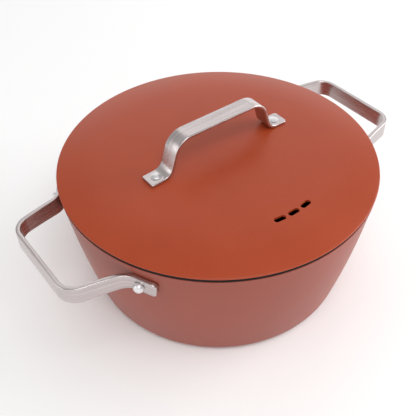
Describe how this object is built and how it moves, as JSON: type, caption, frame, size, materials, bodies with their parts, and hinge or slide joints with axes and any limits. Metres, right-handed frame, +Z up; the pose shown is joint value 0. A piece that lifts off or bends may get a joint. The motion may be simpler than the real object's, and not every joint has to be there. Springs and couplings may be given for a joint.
{
  "type": "dutch oven",
  "caption": "Round lidded stew pot with flat strap side handles, a strap lid handle, steam slots in the lid and a sealing ring.",
  "frame": {"origin": "centre of the base, on the surface that the pot stands on", "axes": "+Z up through the lid, +X along the line through both side handles, the lid's steam slots on the -Y side"},
  "size_m": [0.3566, 0.28, 0.164],
  "materials": {
    "coating": "satin terracotta coating",
    "base_steel": "brushed",
    "strap_steel": "brushed along the strap",
    "rivet_steel": "polished",
    "seal_rubber": "matt black silicone"
  },
  "bodies": {
    "pot": {"pot_body": "coating", "base_disc": "base_steel", "side_handle_left": "strap_steel", "side_handle_right": "strap_steel", "side_rivet_left_front": "rivet_steel", "side_rivet_left_back": "rivet_steel", "side_rivet_right_front": "rivet_steel", "side_rivet_right_back": "rivet_steel"},
    "lid": {"lid_plate": "coating", "lid_seal": "seal_rubber", "lid_handle": "strap_steel", "lid_rivet_left": "rivet_steel", "lid_rivet_right": "rivet_steel"}
  },
  "joints": [
    {"name": "lid_lift", "type": "slide", "parent": "pot", "child": "lid", "axis": [0, 0, 1], "range_m": [0, 0.16]}
  ]
}
